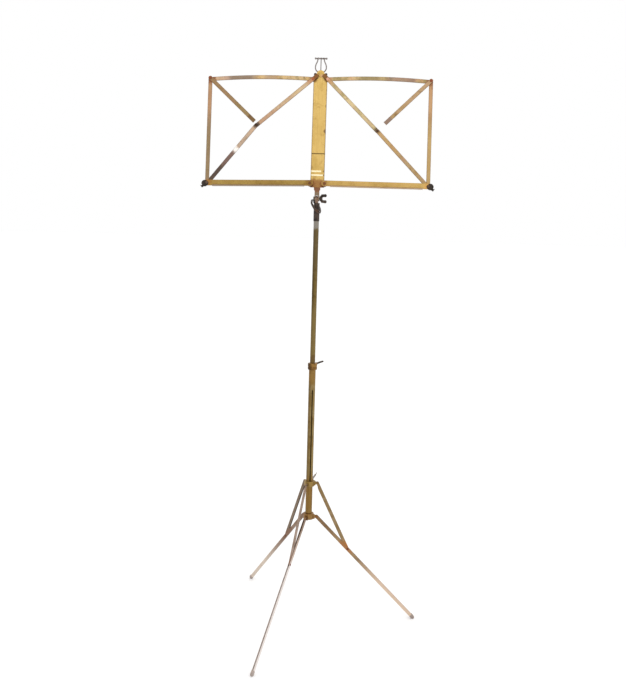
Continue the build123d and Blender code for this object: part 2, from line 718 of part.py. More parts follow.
def page_arm(side):
    """Short free arm at the outer top corner, square at its end."""
    low, high = layer(5)
    outline = Pos(ARM_LENGTH / 2, 0) * Rectangle(ARM_LENGTH, BAR_WIDTH) + Circle(BAR_WIDTH / 2)
    body = plate_of(outline, low, high)
    body = chamfer(body.faces().sort_by(Axis.Z)[-1].edges(), 0.3)
    body -= rod(RIVET_R + RUNNING_GAP, 0, 20)
    x, v = bar_point(side, DESK_HEIGHT, BAR_REACH)
    return placed(side, Pos(x, v) * Rot(0, 0, 180 + WINGS[side][2]) * body)


def page_stop(side):
    """Dark disc that swivels at the outer bottom corner, with a finger bent forwards."""
    low, high = layer(6)
    reach = 13.5
    slant = Rot(0, 0, -38)
    outline = Pos(4.0, -1.0) * Circle(6.5) + slant * Pos(reach / 2, 0) * Rectangle(reach, 4.4)
    body = plate_of(outline, low, high)
    body += slant * Pos(reach, 0, low) * Box(STRIP, 4.4, 7.0, align=(Align.MAX, Align.CENTER, Align.MIN))
    body -= rod(RIVET_R + RUNNING_GAP, 0, 20)
    x, v = bar_point(side, 0, BAR_REACH)
    return placed(side, Pos(x, v) * Rot(0, 0, -WINGS[side][0]) * body)


# ---- write one STEP for each node ----

SINGLE_PARTS = (
    outer_tube, clamp_collar, clamp_screw, lower_hub, hub_pins, upper_collar, collar_key, collar_pins,
    collar_screw, mast_tube, mast_bush, mast_ferrule, mast_head, tilt_bolt, wing_nut, wire_tie,
    desk_fork, plate_foot, centre_plate, plate_rivets, crest_boss, lyre, lyre_saddle, top_pivots,
    ledge_pivots,
)
LEG_PARTS = (leg, foot_tip, knee_pin, strut)
WING_PARTS = (
    ledge_bar, top_bar, side_bar, upper_brace, lower_brace, elbow_rivet_back, elbow_rivet_front,
    top_corner_rivet, low_corner_rivet, page_arm, page_stop,
)

os.makedirs("parts", exist_ok=True)
for make in SINGLE_PARTS:
    export_step(make(), f"parts/{make.__name__}.step")
for side in LEG_AZIMUTHS:
    for make in LEG_PARTS:
        export_step(make(side), f"parts/{side}_{make.__name__}.step")
for side in WINGS:
    for make in WING_PARTS:
        export_step(make(side), f"parts/{side}_{make.__name__}.step")
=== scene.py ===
import json
import bpy
import bmesh
from math import cos, pi, radians, sin
from mathutils import Matrix, Vector

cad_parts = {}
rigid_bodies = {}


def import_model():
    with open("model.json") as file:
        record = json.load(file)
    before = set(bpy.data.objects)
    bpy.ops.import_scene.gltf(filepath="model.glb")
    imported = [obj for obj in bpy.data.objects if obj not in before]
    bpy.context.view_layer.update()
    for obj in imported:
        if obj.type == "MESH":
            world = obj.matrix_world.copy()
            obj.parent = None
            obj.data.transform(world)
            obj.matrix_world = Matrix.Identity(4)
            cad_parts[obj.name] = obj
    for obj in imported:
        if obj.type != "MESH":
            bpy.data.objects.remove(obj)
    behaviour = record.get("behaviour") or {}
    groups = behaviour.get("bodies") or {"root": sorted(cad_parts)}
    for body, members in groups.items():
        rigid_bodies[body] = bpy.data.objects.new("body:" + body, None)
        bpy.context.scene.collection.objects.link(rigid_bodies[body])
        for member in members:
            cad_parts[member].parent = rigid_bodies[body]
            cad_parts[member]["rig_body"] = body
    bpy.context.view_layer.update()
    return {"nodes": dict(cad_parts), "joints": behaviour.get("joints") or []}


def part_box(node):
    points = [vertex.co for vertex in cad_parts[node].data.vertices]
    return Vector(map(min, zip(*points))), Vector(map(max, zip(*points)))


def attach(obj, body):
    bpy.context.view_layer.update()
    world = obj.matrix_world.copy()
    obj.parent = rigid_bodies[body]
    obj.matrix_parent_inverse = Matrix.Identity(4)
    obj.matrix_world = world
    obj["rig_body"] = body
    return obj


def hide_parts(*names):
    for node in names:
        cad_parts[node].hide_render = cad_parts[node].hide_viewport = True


# A folding brass music stand: materials, the wire's loops, soft studio light and the camera.
# Everything is in metres, in the frame's own axes.

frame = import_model()
nodes = frame["nodes"]
joint_at = {j["name"]: Vector(j["pos_m"]) for j in frame["joints"] if "pos_m" in j}

SIDES = ("right", "left")
LEGS = ("right", "front", "back")
DESK_TILT = radians(10)
DESK_NORMAL = Vector((0, -cos(DESK_TILT), sin(DESK_TILT)))
DESK_UP = Vector((0, sin(DESK_TILT), cos(DESK_TILT)))
ACROSS = Vector((1, 0, 0))

# Half widths of the strips, for the painted shade that darkens each long edge. The ledge bars'
# edge shade is painted about a line a little above their pivots.
BAR_HALF = 0.0039
LEDGE_HALF = 0.0059
LEDGE_MIDDLE = 0.0004
PLATE_HALF = 0.0138

# How far the top bars arch.
TOP_BAR_RISE = 0.004

# Heights up the plate from the ledge pivots: its seam, and each bead with the end of its painted
# highlight and wear.
SEAM = 0.0624
BEADS = ((0.0186, 0.0110), (0.0264, 0.0065))
BEAD_HALF = 0.0014

# From a leg's pivot to its knee.
KNEE = 0.102

# The wire's winding.
WIRE_RADIUS = 0.00095
WIRE_TURNS = 4.7
STEPS_A_TURN = 40

# The camera's focal length, in dots of an image that is 626 wide and 699 high.
IMAGE_HEIGHT = 699
FOCAL = 760.0
SENSOR = 36


def rgb(red, green, blue):
    """Linear colour of an 8-bit display colour."""
    channels = []
    for value in (red, green, blue):
        level = value / 255
        channels.append(level / 12.92 if level <= 0.04045 else ((level + 0.055) / 1.055) ** 2.4)
    return (*channels, 1.0)


def middle(node):
    low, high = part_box(node)
    return (low + high) / 2


# ---- material nodes ----

class Paint:
    """A Principled material that is built up from a few kinds of node."""

    def __init__(self, name, metallic, roughness):
        self.material = bpy.data.materials.new(name)
        self.material.use_nodes = True
        self.tree = self.material.node_tree
        self.shader = self.tree.nodes["Principled BSDF"]
        self.shader.inputs["Metallic"].default_value = metallic
        self.shader.inputs["Roughness"].default_value = roughness
        coordinates = self.node("ShaderNodeTexCoord")
        self.here = coordinates.outputs["Object"]
        self.normal = coordinates.outputs["Normal"]

    def node(self, kind, **settings):
        made = self.tree.nodes.new(kind)
        for key, value in settings.items():
            setattr(made, key, value)
        return made

    def feed(self, made, values):
        for socket, value in zip(made.inputs, values):
            if isinstance(value, bpy.types.NodeSocket):
                self.tree.links.new(value, socket)
            elif value is not None:
                socket.default_value = value
        return made

    def math(self, operation, *values):
        made = self.node("ShaderNodeMath", operation=operation)
        return self.feed(made, values).outputs[0]

    def vector(self, operation, *values, output="Vector"):
        made = self.node("ShaderNodeVectorMath", operation=operation)
        return self.feed(made, values).outputs[output]

    def along(self, start, direction):
        """Distance from a point along a direction."""
        moved = self.vector("SUBTRACT", self.here, tuple(start))
        return self.vector("DOT_PRODUCT", moved, tuple(direction), output="Value")

    def noise(self, scale, detail=4.0, roughness=0.6, streaks=None):
        """Noise from 0 to 1, drawn out along a direction where streaks is given."""
        spot = self.here
        if streaks:
            shift = self.vector("DOT_PRODUCT", self.here, tuple(streaks), output="Value")
            push = self.node("ShaderNodeVectorMath", operation="SCALE")
            push.inputs[0].default_value = tuple(streaks)
            self.tree.links.new(self.math("MULTIPLY", shift, -0.96), push.inputs["Scale"])
            spot = self.vector("ADD", self.here, push.outputs[0])
        made = self.node("ShaderNodeTexNoise")
        self.tree.links.new(spot, made.inputs["Vector"])
        made.inputs["Scale"].default_value = scale
        made.inputs["Detail"].default_value = detail
        made.inputs["Roughness"].default_value = roughness
        return made.outputs["Fac"]

    def step(self, value, low, high, bottom=0.0, top=1.0):
        """Smooth step of value between low and high."""
        made = self.node("ShaderNodeMapRange", interpolation_type="SMOOTHSTEP")
        return self.feed(made, (value, low, high, bottom, top)).outputs[0]

    def mix(self, factor, first, second):
        made = self.node("ShaderNodeMix", data_type="RGBA")
        sockets = (made.inputs[0], made.inputs[6], made.inputs[7])
        for socket, value in zip(sockets, (factor, first, second)):
            if isinstance(value, bpy.types.NodeSocket):
                self.tree.links.new(value, socket)
            else:
                socket.default_value = value
        return made.outputs[2]

    def finish(self, colour, roughness, height, bump):
        self.tree.links.new(colour, self.shader.inputs["Base Color"])
        self.tree.links.new(roughness, self.shader.inputs["Roughness"])
        made = self.node("ShaderNodeBump")
        made.inputs["Strength"].default_value = bump
        made.inputs["Distance"].default_value = 0.0004
        self.tree.links.new(height, made.inputs["Height"])
        self.tree.links.new(made.outputs["Normal"], self.shader.inputs["Normal"])
        return self.material


def zone(maker, full, none, colour, amount=1.0, ragged=0.003):
    """A place with its own colour: full where the maker's value is low, none where it is high."""
    return maker, full, none, colour, amount, ragged


def near(point):
    return lambda paint: paint.vector("DISTANCE", paint.here, tuple(point), output="Value")


def stretch(start, direction, low, high):
    """Distance outside a stretch that runs between two distances along a direction."""
    def maker(paint):
        reach = paint.math("SUBTRACT", paint.along(start, direction), (low + high) / 2)
        return paint.math("SUBTRACT", paint.math("ABSOLUTE", reach), (high - low) / 2)
    return maker


def both(first, second):
    """Where two makers' places overlap."""
    return lambda paint: paint.math("MAXIMUM", first(paint), second(paint))


def facing(direction):
    """Lowest where the surface faces a direction: -1 when it does so squarely."""
    away = tuple(-part for part in direction)
    return lambda paint: paint.vector("DOT_PRODUCT", paint.normal, away, output="Value")


def beside(start, across):
    """Distance from a line, measured across it."""
    return lambda paint: paint.math("ABSOLUTE", paint.along(start, across))


def bowed(start, end, across, rise):
    """Distance from a line that is bowed by rise between two points."""
    def maker(paint):
        length = (end - start).length
        share = paint.math("DIVIDE", paint.along(start, (end - start) / length), length)
        hump = paint.math("MULTIPLY", share, paint.math("SUBTRACT", 1.0, share))
        bow = paint.math("MULTIPLY", hump, 4 * rise)
        return paint.math("ABSOLUTE", paint.math("SUBTRACT", paint.along(start, across), bow))
    return maker


def aged_metal(name, tones, dark, metallic=0.85, rough=(0.34, 0.6), stain=0.4, grain=None,
               zones=(), edge=None, bump=0.3, cloud=30):
    """Worn metal: three tones in clouds, dark marks, fine scratches, zones and a darker edge of
    painted shade.

    grain is the direction of its scratches, and edge is (maker, inner, outer, colour, amount).
    """
    paint = Paint(name, metallic, rough[0])
    colour = paint.mix(paint.step(paint.noise(cloud, 5, 0.62), 0.38, 0.62), tones[0], tones[1])
    second = paint.step(paint.noise(cloud * 1.7, 4, 0.6), 0.5, 0.68, 0.0, 0.8)
    colour = paint.mix(second, colour, tones[2])
    flecks = paint.step(paint.noise(210, 8, 0.72), 0.57, 0.7)
    patches = paint.step(paint.noise(70, 6, 0.68), 0.56, 0.7)
    worn = paint.math("MAXIMUM", flecks, patches)
    colour = paint.mix(paint.math("MULTIPLY", worn, stain), colour, dark)
    if grain:
        streak = paint.noise(900, 3, 0.5, grain)
        colour = paint.mix(paint.step(streak, 0.4, 0.75, 0.0, 0.22), colour, dark)
    for maker, full, none, tint, amount, ragged in zones:
        reach = maker(paint)
        if ragged:
            wobble = paint.step(paint.noise(180, 4, 0.6), 0.2, 0.8, -ragged, ragged)
            reach = paint.math("ADD", reach, wobble)
        colour = paint.mix(paint.step(reach, full, none, amount, 0.0), colour, tint)
    # The darker edge is painted shade, where a strip's rolled edge turns from the light.
    if edge:
        maker, inner, outer, tint, amount = edge
        wobble = paint.step(paint.noise(260, 5, 0.7), 0, 1, -0.0008, 0.0008)
        ragged = paint.math("ADD", maker(paint), wobble)
        colour = paint.mix(paint.step(ragged, inner, outer, 0.0, amount), colour, tint)
    height = paint.math("ADD", paint.noise(1500, 4, 0.6), worn)
    roughness = paint.step(paint.math("ADD", paint.noise(90, 5), worn), 0.3, 1.2, *rough)
    return paint.finish(colour, roughness, height, bump)


def coat(material, *names):
    for name in names:
        mesh = nodes[name].data
        mesh.materials.clear()
        mesh.materials.append(material)


# ---- colours ----
GOLD = rgb(216, 182, 108)
GOLD_MID = rgb(208, 173, 98)
GOLD_DULL = rgb(198, 164, 90)
GOLD_EDGE_SHADE = rgb(120, 96, 66)
CREAM_WEAR_AND_HIGHLIGHT = rgb(255, 244, 206)
HONEY = rgb(196, 158, 92)
OLIVE = rgb(150, 124, 76)
OLIVE_DULL = rgb(132, 102, 54)
OLIVE_DARK = rgb(62, 44, 24)
KHAKI = rgb(158, 140, 94)
STRAW = rgb(214, 184, 138)
ROSE = rgb(198, 150, 112)
PLUM = rgb(130, 108, 104)
UMBER = rgb(98, 66, 44)
BROWN = rgb(112, 82, 52)
RUST = rgb(128, 72, 44)
COPPER = rgb(176, 104, 66)
PINK = rgb(226, 176, 152)
SOOT = rgb(44, 37, 32)
SOOT_LIGHT = rgb(74, 62, 54)
BLACK = rgb(24, 20, 18)
GREY = rgb(138, 130, 126)
MAUVE = rgb(226, 218, 213)
PALE = rgb(222, 208, 192)


# ---- desk ----

def bar(name, start, end, tones, dark, zones=(), half=BAR_HALF, inner=0.68, rise=0.0, stain=0.4,
        shift=0.0):
    """Material of a strip between two points; its edge darkens with painted shade from inner, a
    share of half.
    """
    way = (end - start).normalized()
    across = DESK_NORMAL.cross(way)
    if across.dot(DESK_UP) < 0:
        across = -across
    line = start + across * shift
    maker = bowed(line, end, across, rise) if rise else beside(line, across)
    # Painted shade darkens the strip along each edge.
    edge = (maker, half * inner, half * 1.02, dark, 0.7)
    coat(aged_metal(name, tones, dark, stain=stain, grain=way, zones=zones, edge=edge), name)


def share(start, end, low, high):
    """A stretch between two shares of the way from one point to another."""
    length = (end - start).length
    return stretch(start, (end - start) / length, low * length, high * length)


def finish_top_bars():
    start = joint_at["left_top_bar_fold"]
    end = joint_at["left_arm_swing"]
    zones = (zone(share(start, end, 0.62, 0.80), 0, 0.024, rgb(124, 108, 100), 0.8),
             zone(share(start, end, 0.36, 0.44), 0, 0.012, PLUM, 0.4),
             zone(share(start, end, 0.84, 0.95), 0, 0.01, rgb(206, 170, 150), 0.5),
             zone(near(end), 0.007, 0.013, RUST, 0.85),
             zone(near(start), 0.004, 0.012, UMBER, 0.7))
    bar("left_top_bar", start, end, (STRAW, HONEY, KHAKI), UMBER, zones, rise=TOP_BAR_RISE)
    start = joint_at["right_top_bar_fold"]
    end = joint_at["right_arm_swing"]
    zones = (zone(share(start, end, 0.34, 0.48), 0, 0.012, rgb(150, 134, 96), 0.7),
             zone(share(start, end, 0.62, 0.82), 0, 0.014, PLUM, 0.6),
             zone(near(end), 0.007, 0.013, RUST, 0.8),
             zone(near(start), 0.004, 0.012, COPPER, 0.6))
    bar("right_top_bar", start, end, (STRAW, KHAKI, ROSE), UMBER, zones, rise=TOP_BAR_RISE)


def finish_side_bars():
    for side, tones in (("left", (rgb(166, 138, 110), rgb(150, 122, 94), rgb(156, 138, 98))),
                        ("right", (rgb(182, 153, 110), rgb(168, 136, 94), rgb(176, 146, 112)))):
        low = joint_at[f"{side}_side_bar_swing"]
        low_tone = rgb(144, 124, 92) if side == "left" else rgb(190, 160, 104)
        high = joint_at[f"{side}_arm_swing"]
        zones = (zone(share(low, high, 0.78, 1.1), 0, 0.05, ROSE, 0.5),
                 zone(share(low, high, -0.1, 0.45), 0, 0.05, low_tone, 0.6),
                 zone(near(high), 0.008, 0.017, RUST, 0.85),
                 zone(near(low), 0.005, 0.013, COPPER, 0.55))
        bar(f"{side}_side_bar", low, high, tones, BROWN, zones)


def finish_braces():
    for side, tones in (("left", (rgb(206, 180, 144), rgb(188, 152, 122), rgb(196, 168, 122))),
                        ("right", (rgb(212, 190, 144), rgb(176, 158, 112), rgb(206, 172, 138)))):
        pivot = joint_at[f"{side}_top_bar_fold"]
        elbow = middle(f"{side}_elbow_rivet_front")
        tail = stretch(pivot, (pivot - elbow).normalized(), 0.0015, 0.03)
        # On the right brace the rivet head's pink spot is a painted highlight; on the left it is
        # copper.
        head = COPPER if side == "left" else PINK
        zones = (zone(near(pivot), 0.005, 0.02, COPPER, 0.6),
                 zone(near(pivot), 0.002, 0.006, head, 0.7),
                 zone(tail, 0, 0.003, rgb(122, 80, 40), 0.9, 0.001),
                 zone(near(elbow), 0.005, 0.009, SOOT_LIGHT, 0.85, 0.0015))
        bar(f"{side}_upper_brace", pivot, elbow, tones, UMBER, zones)
    elbow = middle("right_elbow_rivet_front")
    corner = joint_at["right_side_bar_swing"]
    zones = (zone(near(elbow), 0.004, 0.008, SOOT_LIGHT, 0.8, 0.0015),
             zone(share(elbow, corner, 0.05, 0.3), 0, 0.03, rgb(200, 160, 100), 0.4),
             zone(near(corner), 0.006, 0.016, rgb(206, 160, 92), 0.7))
    tones = (rgb(184, 158, 118), rgb(168, 138, 94), rgb(180, 142, 110))
    bar("right_lower_brace", elbow, corner, tones, UMBER, zones)
    elbow = middle("left_elbow_rivet_front")
    corner = joint_at["left_side_bar_swing"]
    zones = (zone(share(elbow, corner, 0.08, 0.36), 0, 0.02, rgb(204, 178, 150), 0.7),
             # A near-white band across the brace: painted highlight.
             zone(share(elbow, corner, 0.40, 0.44), 0, 0.006, rgb(255, 248, 240), 0.95),
             zone(share(elbow, corner, 0.50, 0.66), 0, 0.012, rgb(112, 90, 84), 0.8),
             zone(share(elbow, corner, 0.72, 0.93), 0, 0.014, rgb(84, 70, 60), 0.9),
             zone(near(elbow), 0.004, 0.008, SOOT_LIGHT, 0.8, 0.0015))
    tones = (rgb(176, 142, 116), PLUM, ROSE)
    bar("left_lower_brace", elbow, corner, tones, rgb(70, 50, 38), zones, stain=0.7)


def finish_arms():
    for side in SIDES:
        pivot = joint_at[f"{side}_arm_swing"]
        tip = pivot + (middle(f"{side}_page_arm") - pivot) * 2
        length = (tip - pivot).length
        way = (tip - pivot) / length
        tones, end_mark = (rgb(158, 132, 94), rgb(140, 120, 76), rgb(160, 124, 94)), BROWN
        if side == "right":
            tones, end_mark = (rgb(182, 154, 110), rgb(170, 138, 90), rgb(182, 150, 118)), PLUM
        zones = (zone(near(pivot), 0.006, 0.014, RUST, 0.8),
                 zone(share(pivot, tip, 0.1, 0.5), 0, 0.03, tones[2], 0.5),
                 zone(stretch(pivot, way, 0.111, 0.15), 0, 0.004, end_mark, 0.7, 0.0012))
        bar(f"{side}_page_arm", pivot, tip, tones, UMBER, zones)


def finish_ledges():
    tones = {"left": (rgb(172, 143, 76), rgb(154, 124, 62), rgb(166, 134, 72)),
             "right": (rgb(206, 172, 102), rgb(192, 158, 88), rgb(198, 160, 96))}
    # Each ledge bar's edge colour: painted shade along its edge, also used for its flecks.
    edge_shade_and_flecks = {"left": BROWN, "right": rgb(140, 104, 62)}
    # Each ledge bar's underside colour: painted shade.
    underside_shade = {"left": OLIVE, "right": HONEY}
    corners = {"left": rgb(160, 92, 44), "right": rgb(214, 150, 78)}
    for side in SIDES:
        inner = joint_at[f"{side}_wing_fold"]
        corner = joint_at[f"{side}_side_bar_swing"]
        way = (corner - inner).normalized()
        # Faces turned down under the desk are darkened with painted shade.
        zones = [zone(facing(-DESK_UP), -0.75, -0.4, underside_shade[side], 0.7, 0),
                 # Dark brown round each bar's inner end: partly rust, partly painted shadow at the
                 # plate's foot.
                 zone(near(inner), 0.006, 0.018, rgb(116, 70, 30), 0.7),
                 zone(near(inner), 0.003, 0.008, RUST, 0.8),
                 zone(near(corner), 0.006, 0.015, corners[side], 0.75)]
        if side == "right":
            spot = corner - way * 0.021
            zones.append(zone(near(spot), 0.0016, 0.003, rgb(150, 84, 48), 0.8, 0.0004))
        bar(f"{side}_ledge_bar", inner, corner, tones[side], edge_shade_and_flecks[side], zones,
            half=LEDGE_HALF, inner=0.86, shift=LEDGE_MIDDLE, stain=0.25)


def finish_plates():
    zero = (joint_at["right_wing_fold"] + joint_at["left_wing_fold"]) / 2
    seam = stretch(zero, DESK_UP, SEAM - 0.0014, SEAM)
    zones = [zone(seam, 0, 0.0005, rgb(104, 80, 44), 0.85, 0),
             # Brown across the plate's foot at the ledge bars' level: painted shadow.
             zone(stretch(zero, DESK_UP, -0.02, 0.007), 0, 0.006, rgb(142, 92, 54), 0.8),
             zone(near(zero + ACROSS * 0.0136 + DESK_UP * 0.107), 0.003, 0.005, UMBER, 0.8, 0.0015),
             zone(near(zero + ACROSS * 0.0134 + DESK_UP * 0.157), 0.001, 0.004, UMBER, 0.5, 0.0015),
             zone(near(zero - ACROSS * 0.0138 + DESK_UP * 0.035), 0.002, 0.006, UMBER, 0.4, 0.002)]
    for height, end in BEADS:
        line = stretch(zero, DESK_UP, height - BEAD_HALF, height + BEAD_HALF)
        ending = stretch(zero, ACROSS, -0.02, end)
        dent = zero + ACROSS * 0.0126 + DESK_UP * height
        # A pale line along each bead: polished wear with a painted highlight.
        zones.append(zone(both(line, ending), 0, 0.0007, CREAM_WEAR_AND_HIGHLIGHT, 0.95, 0.0002))
        zones.append(zone(near(dent), 0.0012, 0.0026, UMBER, 0.7, 0.0004))
    for side in SIDES:
        top, low = joint_at[f"{side}_top_bar_fold"], joint_at[f"{side}_wing_fold"]
        zones.append(zone(near(top), 0.005, 0.010, rgb(128, 84, 40), 0.7))
        zones.append(zone(near(low), 0.005, 0.012, RUST, 0.8))
    # Painted shade darkens the plate along each long edge.
    edge = (beside(Vector((0, 0, 0)), ACROSS), PLATE_HALF * 0.84, PLATE_HALF * 0.99, GOLD_EDGE_SHADE, 0.8)
    plate = aged_metal("plate", (GOLD, GOLD_MID, GOLD_DULL), rgb(150, 116, 62), grain=DESK_UP,
                       zones=zones, edge=edge, stain=0.22, cloud=22)
    coat(plate, "centre_plate", "plate_foot", "plate_rivets")
    crest = joint_at["right_top_bar_fold"]
    spots = [zone(near(Vector((0.003, crest.y, crest.z + 0.006))), 0.002, 0.006, PINK, 0.5),
             zone(near(Vector((-0.004, crest.y, crest.z + 0.012))), 0.001, 0.005, BROWN, 0.35)]
    coat(aged_metal("crest", (GOLD_MID, GOLD_DULL, HONEY), BROWN, rough=(0.5, 0.75), zones=spots),
         "crest_boss")


def finish_fittings():
    """The fork behind the desk, its rivets and stops, and the lyre."""
    pivot = (joint_at["right_wing_fold"] + joint_at["left_wing_fold"]) / 2
    top = joint_at["right_top_bar_fold"]
    zones = (zone(stretch(pivot, DESK_UP, -0.014, 0.0), 0, 0.004, rgb(126, 82, 58), 0.8),
             zone(stretch(pivot, DESK_UP, -0.05, -0.018), 0, 0.006, rgb(128, 112, 92), 0.85))
    tones = (rgb(158, 122, 92), rgb(138, 100, 74), rgb(172, 140, 106))
    coat(aged_metal("fork", tones, UMBER, grain=DESK_UP, zones=zones), "desk_fork")
    # Pink on the right top rivet's head: a painted highlight.
    zones = (zone(near(top), 0.006, 0.009, PINK, 0.8),)
    coat(aged_metal("top_rivets", (COPPER, RUST, BROWN), SOOT, zones=zones), "top_pivots")
    coat(aged_metal("low_rivets", (RUST, BROWN, UMBER), SOOT), "ledge_pivots")
    for side in SIDES:
        elbow = aged_metal(f"{side}_elbow", (SOOT_LIGHT, rgb(70, 50, 34), UMBER), BLACK)
        coat(elbow, f"{side}_elbow_rivet_back", f"{side}_elbow_rivet_front")
        coat(aged_metal(f"{side}_top_corner", (rgb(140, 74, 54), RUST, BROWN), UMBER),
             f"{side}_top_corner_rivet")
        coat(aged_metal(f"{side}_low_corner", (SOOT_LIGHT, BROWN, GREY), BLACK),
             f"{side}_low_corner_rivet")
        coat(aged_metal(f"{side}_stop", (SOOT, SOOT_LIGHT, BLACK), BLACK, metallic=0.7),
             f"{side}_page_stop")
    zones = (zone(stretch(top, DESK_UP, 0.0445, 0.06), 0, 0.002, SOOT, 0.8),)
    tones = (GREY, rgb(120, 110, 108), rgb(158, 140, 132))
    coat(aged_metal("lyre_steel", tones, SOOT_LIGHT, zones=zones), "lyre")
    coat(aged_metal("saddle", (UMBER, SOOT_LIGHT, BROWN), BLACK), "lyre_saddle")


# ---- pole ----

def height_band(low, high):
    """A stretch of the pole between two heights."""
    return stretch(Vector((0, 0, 0)), Vector((0, 0, 1)), low, high)


def finish_pole():
    up = Vector((0, 0, 1))
    low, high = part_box("outer_tube")
    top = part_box("mast_tube")[1].z
    # The side that faces left and a little forward is darkened with painted shade, on the mast,
    # tube and clamp.
    painted_shade_side = facing(Vector((-1, -0.3, 0)).normalized())
    zones = (zone(painted_shade_side, -0.85, -0.1, rgb(66, 52, 22), 0.75, 0.1),
             zone(height_band(top - 0.11, top), 0, 0.05, rgb(96, 82, 56), 0.6, 0.01),
             zone(height_band(top - 0.043, top), 0, 0.006, rgb(150, 146, 140), 0.7, 0.003),
             zone(height_band(high.z, high.z + 0.09), 0, 0.06, rgb(134, 114, 70), 0.5, 0.01),
             zone(height_band(high.z, high.z + 0.022), 0, 0.004, rgb(84, 56, 30), 0.5, 0.005))
    tones = (rgb(124, 104, 60), rgb(112, 92, 46), rgb(102, 80, 34))
    coat(aged_metal("mast", tones, OLIVE_DARK, grain=up, zones=zones, stain=0.45),
         "mast_tube", "mast_bush")
    # The tube's painted shade on that side.
    zones = (zone(painted_shade_side, -0.85, -0.2, rgb(78, 58, 24), 0.5, 0.1),
             zone(height_band(low.z, low.z + 0.075), 0, 0.03, rgb(132, 98, 46), 0.75, 0.01),
             zone(height_band(high.z - 0.022, high.z), 0, 0.02, rgb(140, 104, 48), 0.6, 0.006))
    tones = (rgb(146, 124, 78), rgb(132, 106, 58), rgb(150, 130, 90))
    coat(aged_metal("tube", tones, OLIVE_DARK, grain=up, zones=zones, stain=0.45), "outer_tube")
    # The clamp's painted shade on that side.
    zones = (zone(painted_shade_side, -0.8, -0.1, rgb(48, 32, 16), 0.7, 0.1),)
    tones = (rgb(136, 98, 50), rgb(100, 68, 32), rgb(158, 120, 64))
    coat(aged_metal("clamp", tones, rgb(56, 36, 22), stain=0.6, zones=zones), "clamp_collar")
    coat(aged_metal("collar", (rgb(152, 126, 70), OLIVE_DULL, OLIVE), OLIVE_DARK),
         "upper_collar", "collar_key")
    tones = (rgb(144, 108, 62), rgb(122, 86, 46), rgb(134, 108, 66))
    coat(aged_metal("hub", tones, rgb(84, 56, 30)), "lower_hub")
    coat(aged_metal("head", (rgb(150, 128, 116), BROWN, PLUM), UMBER), "mast_head")
    black = aged_metal("black_steel", (SOOT, SOOT_LIGHT, BLACK), BLACK, metallic=0.7)
    coat(black, "clamp_screw", "mast_ferrule", "tilt_bolt", "wing_nut")
    tones = (rgb(150, 140, 122), GREY, OLIVE_DULL)
    coat(aged_metal("screw_steel", tones, SOOT_LIGHT), "collar_screw")
    coat(aged_metal("pins", (RUST, BROWN, OLIVE_DULL), SOOT), "hub_pins", "collar_pins")


# ---- tripod ----

def finish_legs():
    tones = {"right": (rgb(160, 134, 100), rgb(144, 116, 84), rgb(132, 110, 86)),
             "front": (rgb(208, 188, 174), rgb(194, 172, 156), rgb(216, 198, 184)),
             "back": (rgb(152, 128, 110), rgb(132, 108, 92), rgb(122, 102, 86))}
    struts = {"right": (rgb(142, 118, 84), rgb(128, 104, 66), rgb(152, 130, 98)),
              "front": (rgb(160, 138, 122), rgb(140, 118, 102), rgb(172, 150, 136)),
              "back": (rgb(122, 104, 86), rgb(108, 90, 72), rgb(130, 112, 96))}
    knee_tints = {"right": rgb(196, 116, 50), "front": rgb(124, 80, 52), "back": rgb(124, 80, 52)}
    foot_tones = (rgb(164, 150, 142), rgb(146, 130, 122), rgb(182, 164, 152))
    for side in LEGS:
        hub = joint_at[f"{side}_leg_fold"]
        foot = middle(f"{side}_foot_tip")
        way = (foot - hub).normalized()
        zones = [zone(stretch(hub, way, -0.02, 0.03), 0, 0.03, BROWN, 0.55, 0.006)]
        if side == "right":
            worn = stretch(hub, way, KNEE - 0.018, KNEE + 0.004)
            zones.append(zone(worn, 0, 0.014, rgb(172, 106, 52), 0.55))
            zones.append(zone(stretch(hub, way, 0.22, 0.4), 0, 0.1, rgb(218, 194, 172), 0.85))
        if side == "front":
            zones.append(zone(stretch(hub, way, KNEE + 0.012, 0.5), 0, 0.035, MAUVE, 0.95))
        if side == "back":
            worn = stretch(hub, way, KNEE - 0.03, KNEE + 0.004)
            zones.append(zone(worn, 0, 0.02, rgb(116, 74, 46), 0.6))
            zones.append(zone(stretch(hub, way, 0.24, 0.5), 0, 0.12, PALE, 0.7))
        rough, metallic = ((0.55, 0.75), 0.6) if side == "front" else ((0.36, 0.6), 0.8)
        coat(aged_metal(f"{side}_leg", tones[side], BROWN, grain=way, zones=zones, rough=rough,
                        metallic=metallic, stain=0.25), f"{side}_leg")
        marks = [zone(near(hub + way * KNEE), 0.006, 0.03, knee_tints[side], 0.6)]
        coat(aged_metal(f"{side}_strut", struts[side], BROWN, zones=marks, stain=0.3),
             f"{side}_strut")
        coat(aged_metal(f"{side}_knee", (rgb(116, 66, 62), RUST, BROWN), UMBER),
             f"{side}_knee_pin")
        coat(aged_metal(f"{side}_foot", foot_tones, PLUM, metallic=0.5), f"{side}_foot_tip")


# ---- wire ----

def wire_path():
    """Slack slanting turns round the ferrule, each a little off the last."""
    low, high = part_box("wire_tie")
    facing_way = Vector((0.70, -0.40, 0.59)).normalized()
    flat = Vector((0, 0, 1)).cross(facing_way).normalized()
    steep = facing_way.cross(flat)
    centre = (low + high) / 2
    points = []
    for number in range(int(WIRE_TURNS * STEPS_A_TURN) + 1):
        turn = number / STEPS_A_TURN
        angle = 2 * pi * turn
        wide = 0.0121 + 0.0010 * sin(1.7 * angle + 0.6) + 0.0004 * sin(3.1 * angle)
        tall = 0.0142 + 0.0003 * sin(2.3 * angle)
        rise = (turn - WIRE_TURNS / 2) * 0.0013 + 0.0006 * sin(0.61 * angle)
        spot = centre + flat * wide * cos(angle) + steep * tall * sin(angle)
        points.append(spot + Vector((0, 0, rise)))
    return points


